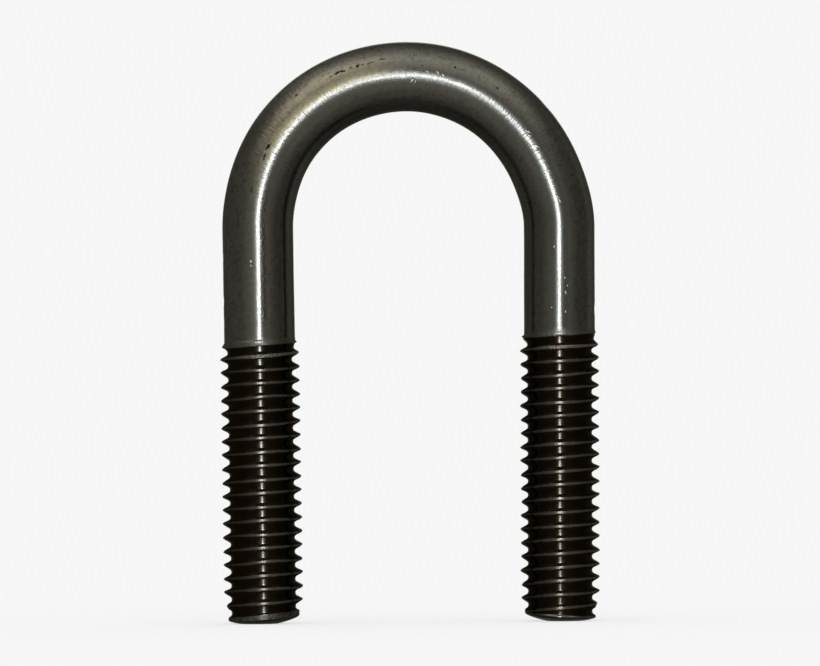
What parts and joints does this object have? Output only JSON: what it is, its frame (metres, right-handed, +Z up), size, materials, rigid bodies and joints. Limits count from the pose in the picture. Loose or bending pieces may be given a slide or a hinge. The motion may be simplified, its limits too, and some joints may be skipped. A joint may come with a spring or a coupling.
{
  "type": "u-bolt",
  "caption": "Round-bend U-bolt: a steel rod bent into a U, with a right-hand thread rolled on both legs, for clamping a pipe or bar to a flat support.",
  "frame": {"origin": "midway between the two leg ends, on the plane they end on", "axes": "+Z up the legs towards the top of the bow, +X across the legs, +Y through the opening"},
  "size_m": [0.044, 0.0092, 0.0672],
  "materials": {
    "steel": "bare drawn steel, satin dark grey-olive, with a thin film of oil; darker and browner in the thread roots"
  },
  "bodies": {
    "root": {"u_bolt": "steel"}
  },
  "joints": []
}
